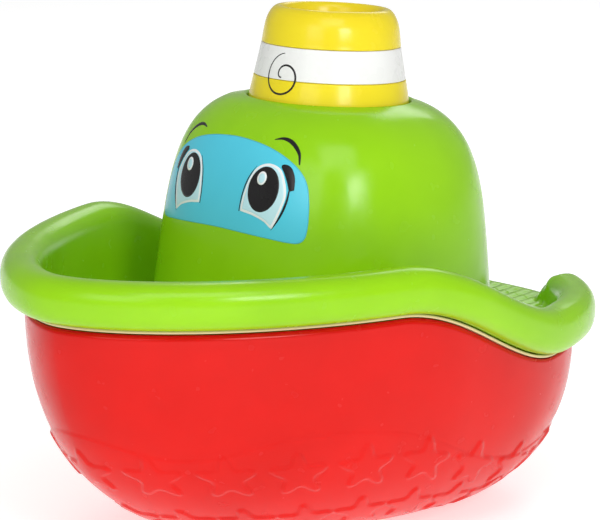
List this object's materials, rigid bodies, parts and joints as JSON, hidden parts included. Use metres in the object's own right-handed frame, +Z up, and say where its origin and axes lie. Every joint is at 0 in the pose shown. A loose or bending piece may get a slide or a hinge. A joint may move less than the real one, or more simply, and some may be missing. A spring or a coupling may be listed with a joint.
{
  "type": "squirting toy boat",
  "caption": "Rounded plastic toy boat: bowl hull, one-piece deck with cabin, and a funnel on top that presses down to squirt water.",
  "frame": {"origin": "on the floor under the middle of the boat, between bow and stern and between the two sides", "axes": "+X to the bow, +Y to port, +Z up"},
  "size_m": [0.2049, 0.1542, 0.1598],
  "materials": {
    "hull_red": "smooth moulded red plastic with a soft gloss",
    "deck_green": "smooth moulded lime green plastic",
    "funnel_yellow": "smooth moulded yellow plastic",
    "band_white": "white moulded plastic",
    "cream_gasket": "soft cream sealing strip",
    "seal_black": "black rubber",
    "pump_clear": "milky natural plastic",
    "steel": "plain steel"
  },
  "bodies": {
    "boat": {"hull": "hull_red", "rim_gasket": "cream_gasket", "deck": "deck_green", "pump_cylinder": "pump_clear", "cylinder_cap": "pump_clear", "cap_screw_1": "steel", "cap_screw_2": "steel", "cap_screw_3": "steel", "foot_valve": "band_white", "intake_seal": "seal_black", "intake_strainer": "seal_black", "ballast": "steel", "return_spring": "steel"},
    "plunger": {"funnel": "funnel_yellow", "funnel_band": "band_white", "nozzle": "band_white", "pump_stem": "pump_clear", "piston": "band_white", "piston_seal": "seal_black"},
    "outlet_valve": {"outlet_ball": "band_white"},
    "inlet_valve": {"inlet_ball": "band_white"}
  },
  "joints": [
    {"name": "funnel_press", "type": "slide", "parent": "boat", "child": "plunger", "axis": [0.0628, 0, -0.998], "range_m": [0, 0.01], "stiffness_N_per_m": 150, "springref_m": -0.02, "deforming": ["return_spring"]},
    {"name": "outlet_ball_lift", "type": "slide", "parent": "plunger", "child": "outlet_valve", "axis": [-0.0628, 0, 0.998], "range_m": [0, 0.002]},
    {"name": "inlet_ball_lift", "type": "slide", "parent": "boat", "child": "inlet_valve", "axis": [-0.0628, 0, 0.998], "range_m": [0, 0.002]}
  ]
}
